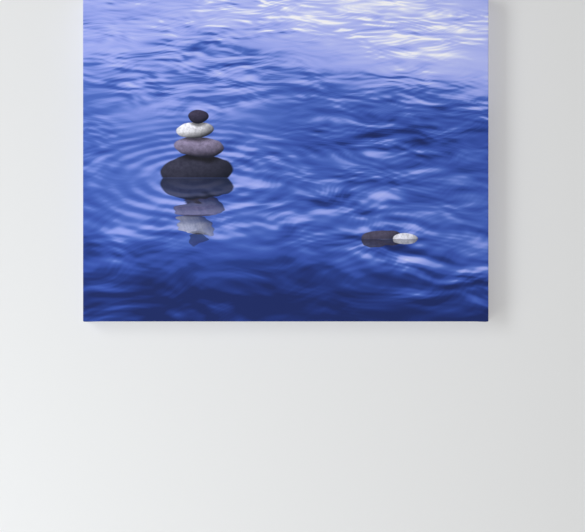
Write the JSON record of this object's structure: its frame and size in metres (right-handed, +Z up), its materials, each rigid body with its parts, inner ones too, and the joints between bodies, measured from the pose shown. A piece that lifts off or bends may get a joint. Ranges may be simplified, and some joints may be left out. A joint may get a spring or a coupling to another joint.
{
  "type": "canvas wall print",
  "caption": "Landscape canvas wall print, wrapped round mitred stretcher bars with a middle brace, corner keys, a toothed hanger and wall pads.",
  "frame": {"origin": "the top of the toothed hanger's middle notch, projected onto the wall plane, where the wall nail bears", "axes": "+X to the right as seen from the front, +Z up, -Y out of the picture towards the viewer; the wall is the plane y = 0"},
  "size_m": [0.762, 0.042, 0.6108],
  "materials": {
    "printed_canvas": "printed in blues, satin matt",
    "pine": "planed, unfinished",
    "beech": "sawn, unfinished",
    "zinc_plated_steel": "bright zinc plating",
    "pad_rubber": "soft and matt"
  },
  "bodies": {
    "root": {"canvas": "printed_canvas", "bar_top": "pine", "bar_bottom": "pine", "bar_left": "pine", "bar_right": "pine", "brace": "pine", "key_bottom_left_across": "beech", "key_bottom_left_upright": "beech", "key_bottom_right_across": "beech", "key_bottom_right_upright": "beech", "key_top_left_across": "beech", "key_top_left_upright": "beech", "key_top_right_across": "beech", "key_top_right_upright": "beech", "hanger": "zinc_plated_steel", "nail_left": "zinc_plated_steel", "nail_right": "zinc_plated_steel", "pad_left": "pad_rubber", "pad_right": "pad_rubber"}
  },
  "joints": []
}
